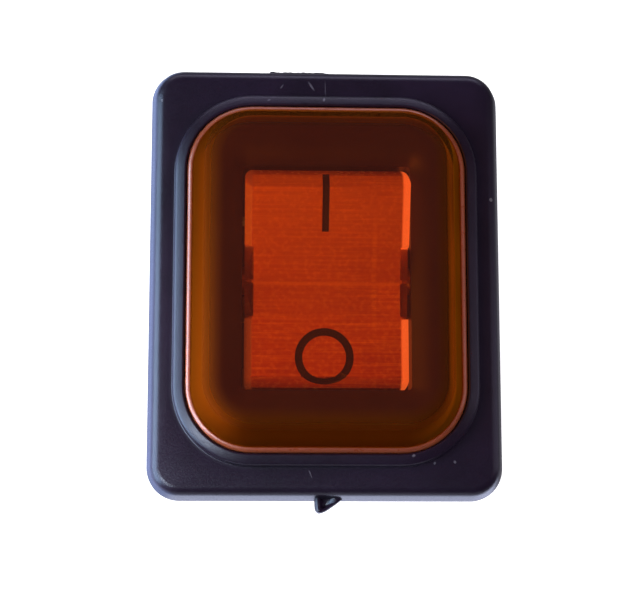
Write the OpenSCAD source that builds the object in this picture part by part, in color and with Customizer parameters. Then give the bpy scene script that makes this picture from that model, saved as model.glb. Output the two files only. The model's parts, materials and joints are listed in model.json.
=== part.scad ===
// Illuminated two-pole rocker switch with a soft splash cover.
// Millimetres. The origin is the centre of the panel cut-out on the panel's front face:
// +Z points out of the panel to the user, +Y up to the bar mark, +X to the right.

/* [Panel cut-out] */
// Width of the cut-out in the panel
cutout_w = 22; // [21:0.1:24]
// Height of the cut-out in the panel
cutout_h = 29; // [28:0.1:31]
// Play between the switch body and the cut-out, each side
cutout_play = 0.1; // [0.05:0.05:0.3]

/* [Boot frame] */
// Thickness of the lip between the panel and the housing flange
lip_t = 0.4; // [0.3:0.05:0.6]
// Height of the frame's face above the foot of the dome
web_t = 0.2; // [0.1:0.05:0.5]
// Wall of the frame beside the housing flange
frame_wall = 2.2; // [1.8:0.1:3]
// Wall of the frame beyond the flange at each end
frame_end_wall = 2.3; // [1.8:0.1:3]
// Corner radius of the frame at the panel
frame_r = 2.8; // [2.2:0.1:4]
// How far the outer wall leans in from its foot to its top
frame_lean = 0.55; // [0.3:0.05:0.8]
// Rounding of the outer top edge
frame_edge_r = 0.6; // [0.3:0.1:0.8]
// Width of the round collar at the foot of the dome
collar_w = 1.05; // [0.9:0.05:1.2]
// Height of the collar above the frame's face
collar_rise = 1.05; // [0.9:0.05:1.4]
// Play of the soft boot round the pieces it grips
boot_play = 0.1; // [0.05:0.05:0.2]
// Length that the mould gate's stub stands out of the lower edge
gate_out = 1.05; // [0.5:0.05:1.5]
// Height that the flash stands out of the upper edge
flash_out = 0.14; // [0.05:0.01:0.3]

/* [Dome] */
// Wall of the dome
dome_wall = 0.6; // [0.4:0.05:0.8]
// Corner radius of the dome at its rim
dome_r = 3.8; // [3.5:0.1:5]
// Reach of the round rim at the foot of the dome beyond its wall
rim_out = 0.3; // [0.2:0.05:0.4]
// Height of the rim above the collar
rim_rise = 0.1; // [0:0.05:0.4]
// Lean of the dome's walls in degrees
dome_draft = 6; // [2:1:9]
// Rounding of the dome's top edge
dome_edge_r = 2.4; // [1.4:0.1:2.6]
// Width of the foot that is bonded under the collar
dome_foot = 0.6; // [0.4:0.05:0.8]
// Thickness of the foot
dome_foot_t = 0.4; // [0.3:0.05:0.6]
// Gap between the dome and the bezel at the sides
dome_side_gap = 0.3; // [0.1:0.05:0.5]
// Gap between the dome and the bezel at the ends
dome_end_gap = 0.85; // [0.3:0.05:1.2]
// Room between the raised end of the rocker and the dome
dome_headroom = 1.6; // [1:0.1:4]

/* [Housing] */
// Overlap of the flange on the panel, each side
flange_lip = 1.7; // [1.4:0.1:2.2]
// Thickness of the flange
flange_t = 1; // [0.8:0.1:1.4]
// Corner radius of the flange
flange_r = 1.5; // [1:0.1:2]
// Width of the raised bezel round the rocker
bezel_band = 3.5; // [3:0.1:3.7]
// Height of the bezel's crest above the flange
bezel_rise = 2.4; // [1.8:0.1:2.8]
// Drop of the bezel from its crest to the rocker opening
bezel_dip = 0.7; // [0.4:0.1:1]
// Distance of the crest from the rocker opening
bezel_crest = 1.9; // [1.5:0.1:2.4]
// Depth of the body behind the panel
body_depth = 21; // [20:0.5:26]
// Walls of the body
wall_t = 1.2; // [0.9:0.1:1.4]
// Floor of the body
floor_t = 2.2; // [1.5:0.1:3]
// Wall between the two poles
barrier_t = 1.2; // [0.8:0.1:1.6]
// Depth of the relief in the body's long sides
relief_d = 0.3; // [0.1:0.05:0.4]
// Width of the guides left at the body's corners
guide_w = 3; // [2:0.5:5]
// Height of the rib between the poles behind the body
rib_h = 1.5; // [0.5:0.1:3]
// Width of each snap wing
wing_w = 9; // [6:0.5:12]
// Reach of a snap wing beyond the body
wing_out = 0.9; // [0.7:0.05:1.2]
// Thinnest panel that the snap wings grip
panel_min = 2.2; // [2.1:0.1:3]

/* [Rocker] */
// Tilt of the rocker to each side in degrees
rocker_tilt = 11; // [8:0.5:13]
// Height of the pivot above the panel
pivot_z = 0.9; // [0.5:0.1:1.2]
// Height of the crease above the pivot
crease_h = 2.3; // [2:0.1:2.8]
// Radius of the rocker's ends about the pivot
end_r = 9.4; // [8.8:0.1:10.2]
// Length of the chamfered band at each end
end_band = 1.4; // [1:0.1:1.8]
// Rounding of the rocker's corners
corner_r = 0.6; // [0.3:0.1:0.9]
// Chamfer along the side edges
side_chamfer = 0.6; // [0.3:0.05:0.7]
// Thickness of the lens
lens_t = 1.2; // [0.9:0.1:1.4]
// Side and end walls of the rocker
shell_t = 1; // [0.7:0.1:1.3]
// Depth of the rocker's skirt below the pivot
skirt_h = 1.6; // [1.4:0.1:2.4]
// Length of each side notch beside the crease
notch_l = 2.75; // [1.5:0.05:3.5]
// Depth of the side notches from the side
notch_d = 0.75; // [0.4:0.05:0.9]
// Radius of the trunnions
trunnion_r = 1.2; // [0.9:0.05:1.4]
// Length of the trunnions
trunnion_l = 1.4; // [1:0.1:1.6]
// Clearance of the trunnions in their bores
pivot_play = 0.05; // [0.02:0.01:0.08]
// Gap between the rocker and the sides of its opening
rocker_gap = 0.2; // [0.15:0.05:0.4]

/* [Lamp] */
// Radius of the lamp's glass tube
lamp_r = 2; // [1.6:0.1:2.2]
// Length of the lamp's glass tube
lamp_l = 9; // [7:0.5:10]
// Wall of the glass tube
glass_t = 0.4; // [0.3:0.05:0.6]
// Radius of the resistor
resistor_r = 1; // [0.7:0.1:1.2]
// Length of the resistor
resistor_l = 6; // [4:0.5:7]
// Radius of the lead wires
lead_r = 0.22; // [0.15:0.01:0.25]

/* [Plungers] */
// Radius of a plunger
plunger_r = 1.25; // [1:0.05:1.5]
// Clearance of a plunger in its tube
plunger_play = 0.05; // [0.02:0.01:0.1]
// Wall of a plunger
plunger_wall = 0.3; // [0.2:0.02:0.36]
// Wall of the rocker's plunger tubes
tube_wall = 0.5; // [0.4:0.05:0.8]
// Depth of the plunger tubes below the pivot
tube_depth = 5.5; // [4.5:0.1:6]
// Radius of the spring wire
spring_wire_r = 0.14; // [0.1:0.01:0.18]
// Turns of a plunger spring
spring_turns = 8; // [6:1:10]

/* [Contacts] */
// Width of the push-on tabs
tab_w = 6.3; // [4.8:0.1:6.5]
// Thickness of the terminal strip
tab_t = 0.8; // [0.5:0.1:0.9]
// Length of the tabs behind the body
tab_l = 9.5; // [8:0.5:12]
// Radius of the detent hole in each tab
tab_hole_r = 0.85; // [0.6:0.05:1]
// Spacing of the terminal rows
row_pitch = 9.5; // [9.2:0.1:10]
// Space between the pole barrier and a tab
pole_gap = 1.05; // [0.8:0.05:1.3]
// Depth of the blade fulcrum below the rocker's pivot
fulcrum_drop = 11.4; // [11:0.1:12.5]
// Width of a contact blade
blade_w = 4; // [3.4:0.1:4.4]
// Thickness of a contact blade
blade_t = 0.9; // [0.6:0.05:1]
// Half length of a contact blade
blade_reach = 9.5; // [9.5:0.1:10.3]
// Rise of a blade's wings in degrees
blade_rise = 10.5; // [9:0.5:12]
// Swing of a blade to each side in degrees
blade_swing = 5; // [4:0.25:5.5]
// Distance of the contact rivets from the fulcrum
contact_at = 7.8; // [7.4:0.1:8]
// Radius of the contact rivets
contact_r = 1.5; // [1.1:0.05:1.6]
// Thickness of a contact rivet's head
contact_t = 0.5; // [0.3:0.05:0.6]
// Gap left between closed contacts, and between a blade and its stop
contact_gap = 0.06; // [0.03:0.01:0.1]
// Gap between a plunger's tip and its blade in mid travel
plunger_gap = 0.28; // [0.2:0.02:0.4]
// Clearance of the strips in their slots and of the rivets in their holes
strip_play = 0.05; // [0.02:0.01:0.1]

/* [Hidden] */
$fn = 48;
eps = 0.3;

black_soft = "#1d1b22";
black_nylon = "#161518";
amber = [0.80, 0.34, 0.05, 0.45];
orange = [0.82, 0.24, 0.06, 0.9];
brass = "#c8a04a";
tinned = "#b9bbbd";
silver = "#d8d8d6";
steel = "#9a9ca0";

// Poles, and the rocker that spans them
tube_r = plunger_r + plunger_play + tube_wall;
pole_x = tab_w / 2 + barrier_t / 2 + pole_gap;
tube_inset = 0.3;
rocker_w = 2 * (pole_x + tube_r + tube_inset);
rocker_end_gap = 0.15;
opening_w = rocker_w + 2 * rocker_gap;
opening_h = 2 * (end_r + rocker_end_gap);
opening_r = 0.35;

// Levels of the flange stack, from the panel up
flange_top = lip_t + flange_t;
foot_top = flange_top + dome_foot_t;
frame_top = foot_top + web_t;
crest_z = flange_top + bezel_rise;

// Housing
body_w = cutout_w - 2 * cutout_play;
body_h = cutout_h - 2 * cutout_play;
body_r = 0.8;
flange_w = cutout_w + 2 * flange_lip;
flange_h = cutout_h + 2 * flange_lip;
roof_z = -0.6;
relief_from = 3.5;
floor_z = floor_t - body_depth;
wing_recess = 1.4;
cavity_w = body_w - 2 * wall_t;
cavity_h = body_h - 2 * (wall_t + wing_recess);
wing_root = 13;
wing_step = 0.3;
wing_pitch = 1;
wing_side_gap = 0.5;
boss_wall = 1.2;

// Dome and frame
bezel_w = opening_w + 2 * bezel_band;
bezel_h = opening_h + 2 * bezel_band;
dome_w = bezel_w + 2 * (dome_side_gap + dome_wall + rim_out);
dome_h = bezel_h + 2 * (dome_end_gap + dome_wall + rim_out);
rim_z = frame_top + collar_rise + rim_rise;
wing_flat = end_r - end_band;
raised_edge_z = pivot_z + crease_h * cos(rocker_tilt) + wing_flat * sin(2 * rocker_tilt);
dome_top = raised_edge_z + dome_headroom + dome_wall;
frame_w = flange_w + 2 * (boot_play + frame_wall);
frame_h = flange_h + 2 * (boot_play + frame_end_wall);

// Contact mechanism: the fulcrum's centre, the blade's section about it and what meets the blade
fulcrum_z = pivot_z - fulcrum_drop;
fulcrum_r = tab_t / 2;
groove_play = 0.06;
blade_under = 0.15;
blade_over = blade_under + blade_t / cos(blade_rise);
waist_w = 0.65 * blade_w;
waist_l = 2 * fulcrum_r + 1;
ear_gap = 0.15;
ear_w = 0.8;
ear_h = 1.2;
post_w = waist_w + 2 * (ear_gap + ear_w);
shoulder_w = tab_w + 0.9;
shoulder_h = 1.8;
rivet_shank_r = 0.7;
rivet_upset_r = 1;
rivet_upset_t = 0.25;
near_edge = contact_at - contact_r;
face_under = blade_under - contact_t / cos(blade_rise);
near_y = near_edge * cos(blade_rise);
near_z = face_under + near_y * tan(blade_rise);
fixed_top = fulcrum_z + near_z * cos(blade_swing) - near_y * sin(blade_swing) - contact_gap;
fixed_t = 0.7;
contact_y = contact_at * cos(blade_rise - blade_swing);
shelf_z = fixed_top - fixed_t;
shelf_w = post_w;
shelf_in = contact_r + 0.3;
stop_y = 6.6;
stop_l = 1.4;
stop_w = 3;
stop_z = fulcrum_z - stop_y * sin(blade_swing) - contact_gap
    + (blade_under + stop_y * tan(blade_rise)) * cos(blade_swing);
barrier_top = fulcrum_z + 1.5;
tab_tip_z = -body_depth - tab_l;
tab_chamfer = 1;
tab_hole_up = 3.6;

// Rocker interior, measured from the pivot
lens_under = crease_h - lens_t;
lamp_z = lens_under - 0.3 - lamp_r;
cradle_y = 0.33 * lamp_l;
cradle_t = 0.8;
cradle_w = 2 * lamp_r + 0.9;
cradle_depth = 1.2;
lead_slot = 2 * lead_r + 0.3;
lead_z = 0.35;
notch_from = 0.15;
notch_h = 1.2;
resistor_z = lamp_z - lamp_r - resistor_r - 0.4;
electrode_x = 0.7;
pinch_l = 1.5;
rod_gap = 0.7;
out_y = -lamp_l / 2 - 1.2;
lead_x = cradle_w / 2 + lead_r + 0.08;
lead_joint = 0.35;

// Plungers, measured from the pivot
nose_z = -(fulcrum_drop - blade_over - (plunger_r + plunger_gap) / cos(blade_rise));
plunger_top = -2.6;
plunger_bore_r = plunger_r - plunger_wall;
plunger_floor = nose_z + 0.1;
spring_r = plunger_bore_r - spring_wire_r - 0.06;
lead_end = pole_x - spring_r - spring_wire_r - 0.1;

// Places the children in the rocker's tilted frame, at its pivot.
module on_rocker() {
    translate([0, 0, pivot_z])
        rotate([rocker_tilt, 0, 0])
            children();
}

// Places the children in the tilted frame of one pole's contact blade, at its fulcrum.
module on_blade(side) {
    translate([side * pole_x, 0, fulcrum_z])
        rotate([-blade_swing, 0, 0])
            children();
}

// Lays a section drawn in Y and Z along X, centred.
module along_x(length) {
    rotate([90, 0, 90])
        linear_extrude(length, center = true)
            children();
}

// Rectangle with round corners.
module rounded_outline(w, h, r) {
    square([w, h - 2 * r], center = true);
    square([w - 2 * r, h], center = true);
    for (x = [-1, 1], y = [-1, 1])
        translate([x * (w / 2 - r), y * (h / 2 - r)])
            circle(r);
}

// Plate of that outline between two levels.
module rounded_plate(w, h, r, z0, z1) {
    translate([0, 0, z0])
        linear_extrude(z1 - z0)
            rounded_outline(w, h, r);
}

// Sweeps a section round a rounded rectangle. The section's X starts at the centre of the
// corner arcs, so the outline itself lies at r.
module sweep_round(w, h, r) {
    half_w = w / 2 - r;
    half_h = h / 2 - r;
    for (turn = [0 : 3]) {
        reach = turn % 2 == 0 ? half_w : half_h;
        run = turn % 2 == 0 ? half_h : half_w;
        rotate([0, 0, 90 * turn])
            translate([reach, run, 0]) {
                rotate([90, 0, 0])
                    linear_extrude(2 * run)
                        children();
                rotate_extrude(angle = 90)
                    children();
            }
    }
}

// Section of a wall that leans in from r at its foot and rounds over into a flat top.
module leaning_section(r, z0, z1, lean, edge) {
    centre_z = z1 - edge;
    centre_x = r - (edge + sin(lean) * (centre_z - z0)) / cos(lean);
    intersection() {
        translate([0, z0])
            square([r, z1 - z0]);
        union() {
            polygon([[0, z0], [r, z0],
                [centre_x + edge * cos(lean), centre_z + edge * sin(lean)],
                [centre_x, z1], [0, z1]]);
            translate([centre_x, centre_z])
                circle(edge);
        }
    }
}

// Block on a rounded rectangle with leaning walls and a rounded top edge.
module leaning_block(w, h, r, z0, z1, lean, edge) {
    half_w = w / 2 - r;
    half_h = h / 2 - r;
    sweep_round(w, h, r)
        leaning_section(r, z0, z1, lean, edge);
    translate([-half_w, -half_h, z0])
        cube([2 * half_w, 2 * half_h, z1 - z0]);
}

function unit(v) = v / norm(v);
function heading(path, i) = unit(path[min(i + 1, len(path) - 1)] - path[max(i - 1, 0)]);
function ring(path, i, r, lean, sides) =
    let (t = heading(path, i), u = unit(cross(t, lean)), v = cross(t, u))
    [for (k = [0 : sides - 1]) path[i] + r * (cos(360 * k / sides) * u + sin(360 * k / sides) * v)];

// Round wire along a path. The lean vector is never in line with the path.
module wire(path, r, lean, sides = 8) {
    last = len(path) - 1;
    points = [for (i = [0 : last]) each ring(path, i, r, lean, sides)];
    skin = [for (i = [0 : last - 1], k = [0 : sides - 1])
        let (a = i * sides + k, b = i * sides + (k + 1) % sides)
        each [[a, a + sides, b + sides], [a, b + sides, b]]];
    start_cap = [for (k = [0 : sides - 1]) k];
    end_cap = [for (k = [sides - 1 : -1 : 0]) last * sides + k];
    polyhedron(points, concat(skin, [start_cap, end_cap]));
}

// Boot frame: soft moulded ring with a lip under the flange and a round collar at the dome.
module boot_frame() {
    color(black_soft)
    difference() {
        union() {
            leaning_block(frame_w, frame_h, frame_r, 0, frame_top,
                atan2(frame_lean, frame_top), frame_edge_r);
            sweep_round(dome_w, dome_h, dome_r)
                translate([dome_r, 0])
                    collar_section();
            gate_stub();
            edge_flash();
        }
        rounded_plate(cutout_w, cutout_h, body_r + cutout_play, -1, lip_t + eps);
        rounded_plate(flange_w + 2 * boot_play, flange_h + 2 * boot_play, flange_r + boot_play,
            lip_t, flange_top);
        rounded_plate(dome_w + 2 * (dome_foot + boot_play), dome_h + 2 * (dome_foot + boot_play),
            dome_r + dome_foot + boot_play, flange_top - eps, foot_top);
        rounded_plate(dome_w + boot_play, dome_h + boot_play, dome_r + boot_play / 2,
            foot_top - eps, crest_z + collar_rise + 1);
    }
}

module collar_section() {
    bead_r = 2 * collar_w / 3;
    crest_x = collar_w - bead_r;
    translate([-eps, frame_top - eps])
        square([eps + crest_x, eps + collar_rise]);
    translate([-eps, frame_top - eps])
        square([eps + collar_w, eps + collar_rise - bead_r]);
    translate([crest_x, frame_top + collar_rise - bead_r])
        circle(bead_r);
}

// Torn-off sprue below the lower edge, folded over to one side round a small hollow.
module gate_stub() {
    gate_t = 0.9;
    stub_x = -0.92;
    stub_w = 2.3;
    fold_r = 0.28;
    fold_z = 0.45;
    translate([stub_x, -frame_h / 2, 0])
        difference() {
            linear_extrude(gate_t)
                polygon([[0, frame_end_wall / 2], [0, -0.2 * gate_out], [0.03 * stub_w, -0.76 * gate_out],
                    [0.16 * stub_w, -gate_out], [0.4 * stub_w, -0.84 * gate_out],
                    [0.62 * stub_w, -0.52 * gate_out], [0.75 * stub_w, -0.32 * gate_out],
                    [stub_w, 0.1 * gate_out], [stub_w, frame_end_wall / 2]]);
            translate([0.36 * stub_w, -0.36 * gate_out, fold_z])
                cylinder(h = gate_t, r = fold_r);
        }
}

// Thin fin of flash along the mould's parting line at the upper edge.
module edge_flash() {
    flash_t = 0.25;
    flash_x = -4.8;
    flash_l = 5.1;
    translate([flash_x, (frame_h - frame_end_wall) / 2, 0])
        cube([flash_l, frame_end_wall / 2 + flash_out, flash_t]);
}

// Dome: clear soft cap with a round rim, leaning walls, a rounded top edge and a flat foot.
module boot_dome() {
    wall_w = dome_w - 2 * rim_out;
    wall_h = dome_h - 2 * rim_out;
    wall_r = dome_r - rim_out;
    inner_w = wall_w - 2 * dome_wall;
    inner_h = wall_h - 2 * dome_wall;
    inner_r = wall_r - dome_wall;
    wall_z = rim_z - rim_out;
    color(amber)
    difference() {
        union() {
            leaning_block(wall_w, wall_h, wall_r, wall_z, dome_top, dome_draft, dome_edge_r);
            leaning_block(dome_w, dome_h, dome_r, flange_top, rim_z, 0, rim_out);
            rounded_plate(dome_w + 2 * dome_foot, dome_h + 2 * dome_foot, dome_r + dome_foot,
                flange_top, foot_top);
        }
        leaning_block(inner_w, inner_h, inner_r, wall_z, dome_top - dome_wall,
            dome_draft, dome_edge_r - dome_wall);
        rounded_plate(inner_w, inner_h, inner_r, flange_top - 1, wall_z + 0.1);
    }
}

// Housing: flange with a raised bezel, deep body, pivot bosses, pole barrier and snap wings.
module housing() {
    color(black_nylon)
    difference() {
        union() {
            housing_shell();
            pivot_bosses();
            translate([-barrier_t / 2, -cavity_h / 2 - eps, floor_z - eps])
                cube([barrier_t, cavity_h + 2 * eps, barrier_top - floor_z + eps]);
            for (side = [-1, 1])
                translate([side * pole_x - stop_w / 2, stop_y, floor_z - eps])
                    cube([stop_w, stop_l, stop_z - floor_z + eps]);
        }
        for (side = [-1, 1]) {
            translate([side * (opening_w / 2 - eps), 0, pivot_z])
                rotate([0, 90 * side, 0])
                    cylinder(h = trunnion_l + eps, r = trunnion_r + pivot_play);
            for (row = [-1 : 1])
                translate([side * pole_x, row * row_pitch, -body_depth + floor_t / 2])
                    cube([tab_w + 2 * strip_play, tab_t + 2 * strip_play, floor_t + 1], center = true);
        }
    }
}

module housing_shell() {
    difference() {
        union() {
            rounded_plate(flange_w, flange_h, flange_r, lip_t, flange_top);
            rounded_plate(body_w, body_h, body_r, -body_depth, lip_t + eps);
            sweep_round(opening_w, opening_h, opening_r)
                translate([opening_r, 0])
                    bezel_section();
        }
        rounded_plate(opening_w, opening_h, opening_r, roof_z - eps, crest_z + 1);
        translate([-cavity_w / 2, -cavity_h / 2, floor_z])
            cube([cavity_w, cavity_h, roof_z - floor_z]);
        for (end = [0, 1])
            mirror([0, end, 0])
                translate([-wing_w / 2 - wing_side_gap, body_h / 2 - wing_recess, -wing_root])
                    cube([wing_w + 2 * wing_side_gap, wing_recess + 1, wing_root - 0.5]);
        for (side = [0, 1])
            mirror([side, 0, 0])
                translate([body_w / 2 - relief_d, guide_w - body_h / 2, -body_depth - 1])
                    cube([relief_d + 1, body_h - 2 * guide_w, body_depth + 1 - relief_from]);
    }
    translate([-barrier_t / 2, guide_w - body_h / 2, -body_depth - rib_h])
        cube([barrier_t, body_h - 2 * guide_w, rib_h + eps]);
    for (end = [0, 1])
        mirror([0, end, 0])
            translate([0, body_h / 2, 0])
                along_x(wing_w)
                    wing_section();
}

// Rounded crest that falls to the opening on one side and stands off the flange on the other.
module bezel_section() {
    crest_r = (bezel_crest * bezel_crest + bezel_dip * bezel_dip) / (2 * bezel_dip);
    inner = opening_r / 2;
    intersection() {
        translate([-inner, flange_top - eps])
            square([bezel_band + inner, bezel_rise + 2 * eps]);
        translate([bezel_crest, crest_z - crest_r])
            circle(crest_r, $fn = 96);
    }
}

module pivot_bosses() {
    boss_h = 2 * (trunnion_r + pivot_play + boss_wall);
    for (side = [-1, 1])
        translate([side * (opening_w / 2 + cavity_w / 2 + eps) / 2, 0, roof_z])
            cube([cavity_w / 2 + eps - opening_w / 2, boss_h, 2 * (roof_z - pivot_z + boss_h / 2)],
                center = true);
}

// Springy wing with three steps that catch behind panels of different thickness.
module wing_section() {
    wing_t = 1;
    step_z = [for (i = [0 : 3]) -panel_min - i * wing_pitch];
    step_y = [for (i = [0 : 2]) wing_out - (2 - i) * wing_step];
    polygon([[-wing_t, -wing_root - eps], [0, -wing_root - eps], [0, -wing_root],
        [step_y[2], step_z[3]], [step_y[2], step_z[2]],
        [step_y[1], step_z[2]], [step_y[1], step_z[1]],
        [step_y[0], step_z[1]], [step_y[0], step_z[0]],
        [-wing_t / 2, step_z[0]], [-wing_t, -wing_root]]);
}

// Rocker: hollow lens with trunnions, plunger tubes and a cradle for the lamp.
module rocker() {
    color(orange)
    on_rocker()
    difference() {
        union() {
            difference() {
                intersection() {
                    along_x(rocker_w + 2)
                        rocker_section();
                    rocker_barrel();
                }
                along_x(rocker_w - 2 * shell_t)
                    rocker_hollow();
            }
            for (side = [-1, 1]) {
                translate([side * (rocker_w / 2 - shell_t), 0, 0])
                    rotate([0, 90 * side, 0])
                        cylinder(h = shell_t + trunnion_l, r = trunnion_r);
                translate([side * pole_x, 0, -tube_depth])
                    cylinder(h = tube_depth + lens_under + eps, r = tube_r);
            }
            lamp_cradle();
        }
        for (side = [-1, 1]) {
            translate([side * pole_x, 0, -tube_depth - eps])
                cylinder(h = tube_depth + lens_under + eps, r = plunger_r + plunger_play);
            translate([side * (pole_x - tube_r / 2), 0, lead_z])
                cube([tube_r + eps, lead_slot, lead_slot], center = true);
            side_notches(side);
            side_edges(side);
        }
    }
}

// Side view of the rocker: a shallow V on top, with a chamfered band at each end.
module rocker_section() {
    far = end_r + 1;
    rise = crease_h + far * tan(rocker_tilt);
    difference() {
        polygon([[0, crease_h], [far, rise], [far, -skirt_h], [-far, -skirt_h], [-far, rise]]);
        for (end = [0, 1])
            mirror([end, 0])
                translate([wing_flat * cos(rocker_tilt), crease_h + wing_flat * sin(rocker_tilt)])
                    rotate(rocker_tilt - 45)
                        translate([-1, 0])
                            square([end_band + 2, end_band + 1]);
    }
}

// Barrel about the pivot that gives the rocker its sides, its round ends and its corners.
module rocker_barrel() {
    rotate([0, 90, 0])
        rotate_extrude($fn = 128) {
            translate([0, -rocker_w / 2])
                square([end_r - corner_r, rocker_w]);
            translate([0, -rocker_w / 2 + corner_r])
                square([end_r, rocker_w - 2 * corner_r]);
            for (side = [-1, 1])
                translate([end_r - corner_r, side * (rocker_w / 2 - corner_r)])
                    circle(corner_r);
        }
}

// The same view of the space inside, open below.
module rocker_hollow() {
    radius = end_r - shell_t;
    rise = lens_under + radius * tan(rocker_tilt);
    depth = skirt_h + 1;
    intersection() {
        polygon([[0, lens_under], [radius, rise], [radius, -depth], [-radius, -depth], [-radius, rise]]);
        circle(radius, $fn = 128);
    }
}

// Two ribs under the lens that the lamp snaps into from below.
module lamp_cradle() {
    cradle_h = lens_under - lamp_z + cradle_depth;
    for (end = [-1, 1])
        difference() {
            translate([-cradle_w / 2, end * cradle_y - cradle_t / 2, lens_under - cradle_h])
                cube([cradle_w, cradle_t, cradle_h + 2 * eps]);
            translate([0, end * cradle_y, lamp_z])
                rotate([90, 0, 0])
                    cylinder(h = cradle_t + 1, r = lamp_r + strip_play, center = true);
            translate([0, end * cradle_y, lamp_z - lamp_r])
                cube([1.8 * lamp_r, cradle_t + 1, 2 * lamp_r], center = true);
        }
}

// Two notches in one side edge, with the rib at the crease left between them.
module side_notches(side) {
    for (end = [0, 1])
        mirror([0, end, 0])
            translate([side * rocker_w / 2, notch_from, crease_h - notch_h])
                translate([-notch_d, 0, 0])
                    cube([2 * notch_d, notch_l, notch_h + 1]);
}

// Chamfer along both halves of one side edge.
module side_edges(side) {
    for (end = [0, 1])
        mirror([0, end, 0])
            translate([side * rocker_w / 2, 0, crease_h])
                rotate([rocker_tilt, 0, 0])
                    rotate([0, 45, 0])
                        cube([side_chamfer * sqrt(2), 4 * end_r, side_chamfer * sqrt(2)], center = true);
}

// Lamp: glass tube with a round end, pinched at the other end round its two wires.
module lamp_envelope() {
    bore_r = lamp_r - glass_t;
    color([0.92, 0.90, 0.86, 0.5])
    on_rocker()
    translate([0, -lamp_l / 2, lamp_z])
        rotate([-90, 0, 0])
            difference() {
                union() {
                    cylinder(h = lamp_l - lamp_r, r = lamp_r);
                    translate([0, 0, lamp_l - lamp_r])
                        sphere(lamp_r);
                }
                translate([0, 0, pinch_l])
                    cylinder(h = lamp_l - lamp_r - pinch_l, r = bore_r);
                translate([0, 0, lamp_l - lamp_r])
                    sphere(bore_r);
                for (side = [-1, 1])
                    translate([side * electrode_x, 0, -1])
                        cylinder(h = pinch_l + 1 + eps, r = lead_r + strip_play);
            }
}

// Electrodes: two rods in the lamp, each with the lead that leaves the pinch.
module lamp_electrodes() {
    rod_r = 0.4;
    rod_from = -lamp_l / 2 + pinch_l + rod_gap;
    rod_l = 0.45 * lamp_l;
    color(steel)
    on_rocker() {
        for (side = [-1, 1])
            translate([side * electrode_x, rod_from, lamp_z])
                rotate([-90, 0, 0])
                    cylinder(h = rod_l, r = rod_r);
        wire([[electrode_x, rod_from + 0.2, lamp_z], [electrode_x, out_y, lamp_z],
            [electrode_x + 0.7, out_y - 0.5, lamp_z + 0.2], [lead_x - 0.2, out_y, lamp_z + 0.6],
            [lead_x, out_y + 1, lead_z], [lead_x, -0.3, lead_z],
            [lead_x + 0.25, 0, lead_z], [lead_end, 0, lead_z]], lead_r, [0.1, 0.2, 1]);
        wire([[-electrode_x, rod_from + 0.2, lamp_z], [-electrode_x, out_y, lamp_z],
            [-electrode_x, out_y - 0.4, lamp_z - 0.4]], lead_r, [1, 0.1, 0.1]);
    }
}

// Resistor: coated rod with its two leads, one to the lamp and one to the left spring.
module lamp_resistor() {
    meet_y = out_y - 0.4;
    half = resistor_l / 2;
    color("#c9b58f")
    on_rocker() {
        translate([0, -half, resistor_z])
            rotate([-90, 0, 0]) {
                cylinder(h = resistor_l, r = 0.8 * resistor_r);
                cylinder(h = 0.25 * resistor_l, r = resistor_r);
                translate([0, 0, 0.75 * resistor_l])
                    cylinder(h = 0.25 * resistor_l, r = resistor_r);
            }
        wire([[0, -half + 0.2, resistor_z], [0, -half - 0.8, resistor_z],
            [-0.3, meet_y - 0.1, resistor_z + 0.6], [-electrode_x, meet_y - 0.1, lamp_z - 1.2],
            [-electrode_x, meet_y - 0.1, lamp_z - 0.4 - lead_joint]], lead_r, [1, 0.1, 0.1]);
        wire([[0, half - 0.2, resistor_z], [0, half + 1, resistor_z],
            [-1, half + 1.6, resistor_z + 0.5], [-lead_x, half + 0.8, lamp_z],
            [-lead_x, half - 0.6, lead_z], [-lead_x, 0.3, lead_z],
            [-lead_x - 0.25, 0, lead_z], [-lead_end, 0, lead_z]], lead_r, [0.2, 0.1, 1]);
    }
}

// Plunger: drawn brass cup with a round nose, sliding in its tube.
module plunger(side) {
    color(brass)
    on_rocker()
    translate([side * pole_x, 0, 0])
        difference() {
            union() {
                translate([0, 0, nose_z])
                    cylinder(h = plunger_top - nose_z, r = plunger_r);
                translate([0, 0, nose_z])
                    sphere(plunger_r);
            }
            translate([0, 0, plunger_floor])
                cylinder(h = plunger_top - plunger_floor + 1, r = plunger_bore_r);
        }
}

module plunger_left() { plunger(-1); }
module plunger_right() { plunger(1); }

// Spring: close end turns and open turns between, from the plunger's floor to the lens.
module plunger_spring(side) {
    steps = 14;
    count = spring_turns * steps;
    z0 = plunger_floor + spring_wire_r;
    z1 = lens_under - spring_wire_r;
    color(steel)
    on_rocker()
    translate([side * pole_x, 0, 0])
        wire([for (i = [0 : count])
            let (share = i / count, eased = share - sin(720 * share) / 14)
            [spring_r * cos(360 * i / steps), spring_r * sin(360 * i / steps), z0 + (z1 - z0) * eased]],
            spring_wire_r, [0, 0, 1], 6);
}

module plunger_spring_left() { plunger_spring(-1); }
module plunger_spring_right() { plunger_spring(1); }

// Contact blade: shallow V strip with a waist and a groove that rocks on the fulcrum.
module contact_blade(side) {
    color(brass)
    on_blade(side)
    difference() {
        along_x(blade_w)
            blade_section();
        for (edge = [-1, 1])
            translate([edge * (waist_w + blade_w) / 2, 0, 0])
                cube([blade_w, waist_l, 4 * blade_over], center = true);
        rotate([0, 90, 0])
            cylinder(h = blade_w + 1, r = fulcrum_r + groove_play, center = true);
        on_contact()
            translate([0, 0, -1])
                cylinder(h = blade_t + 2, r = rivet_shank_r + strip_play);
    }
}

module blade_section() {
    end_y = blade_reach * cos(blade_rise);
    end_z = blade_reach * sin(blade_rise);
    polygon([[0, blade_under], [end_y, blade_under + end_z], [end_y, blade_over + end_z],
        [0, blade_over], [-end_y, blade_over + end_z], [-end_y, blade_under + end_z]]);
}

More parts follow.
